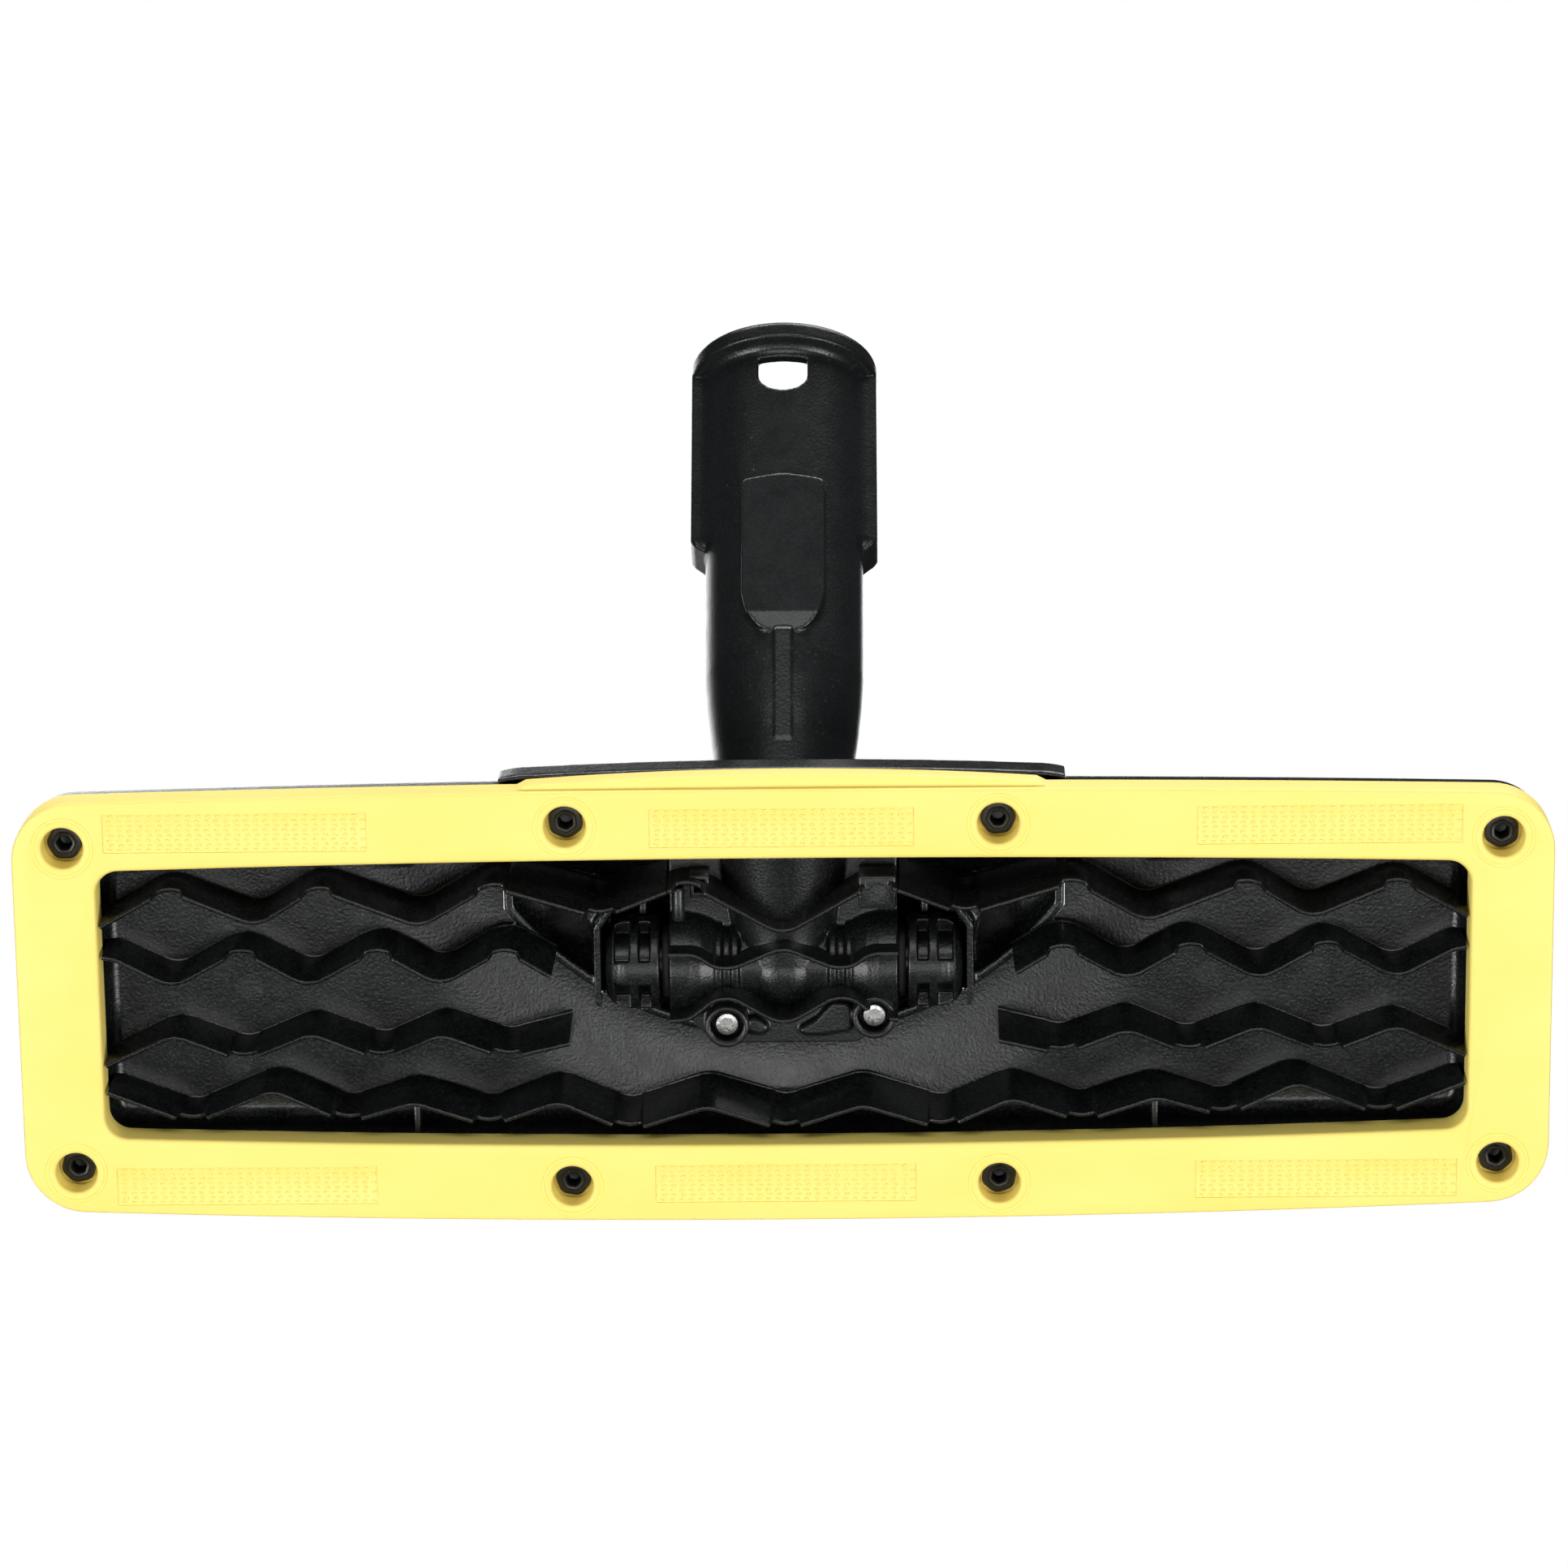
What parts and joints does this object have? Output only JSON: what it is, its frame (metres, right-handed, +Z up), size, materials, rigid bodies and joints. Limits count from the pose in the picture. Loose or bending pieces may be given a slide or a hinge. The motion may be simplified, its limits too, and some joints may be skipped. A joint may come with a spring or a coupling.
{
  "type": "floor cleaning head",
  "caption": "Wide floor head with a cloth frame, wavy lamellae under a low shell, and a two-axis neck tube that tilts and swings.",
  "frame": {"origin": "on the floor under the middle of the whole object's footprint, neck included at rest; the cloth frame's sole lies on z = 0", "axes": "+X across the head, to the left for a user behind it; +Y to the rear, where the neck leans; +Z up from the floor"},
  "size_m": [0.3, 0.1615, 0.1216],
  "materials": {
    "frame_yellow": "bright yellow moulded plastic, satin",
    "head_black": "black moulded plastic, fine spark grain",
    "cover_black": "black moulded plastic, fine grain",
    "cap_black": "black moulded plastic, coarser grain on the saddle",
    "bush_black": "black bearing plastic, satin",
    "knuckle_black": "black glass-filled plastic",
    "neck_black": "black moulded plastic, satin with grained lower end",
    "rivet_black": "black moulded plastic, smooth",
    "screw_steel": "bright zinc plated",
    "pin_steel": "ground stainless",
    "washer_white": "natural bearing plastic",
    "spigot_white": "grey heat-proof plastic",
    "seal_rubber": "black silicone rubber"
  },
  "bodies": {
    "head": {"cloth_frame": "frame_yellow", "head_body": "head_black", "hump_cover": "cover_black", "joint_cap": "cap_black", "frame_rivet_1": "rivet_black", "frame_rivet_2": "rivet_black", "frame_rivet_3": "rivet_black", "frame_rivet_4": "rivet_black", "frame_rivet_5": "rivet_black", "frame_rivet_6": "rivet_black", "frame_rivet_7": "rivet_black", "frame_rivet_8": "rivet_black", "cap_screw_left": "screw_steel", "cap_screw_right": "screw_steel", "trunnion_bush_left": "bush_black", "trunnion_bush_right": "bush_black", "trunnion_seal_left": "seal_rubber", "trunnion_seal_right": "seal_rubber"},
    "knuckle": {"knuckle": "knuckle_black", "pin_washer_lower": "washer_white", "pin_washer_upper": "washer_white"},
    "neck": {"neck_tube": "neck_black", "swing_pin": "pin_steel", "steam_spigot": "spigot_white", "spigot_seal": "seal_rubber", "steam_cup_seal": "seal_rubber"}
  },
  "joints": [
    {"name": "neck_tilt", "type": "hinge", "parent": "head", "child": "knuckle", "pos_m": [0, -0.032, 0.015], "axis": [1, 0, 0], "range_deg": [0, 50]},
    {"name": "neck_swing", "type": "hinge", "parent": "knuckle", "child": "neck", "pos_m": [0, -0.0086, 0.03682], "axis": [0, -0.682, 0.7314], "range_deg": [-30, 30]}
  ]
}
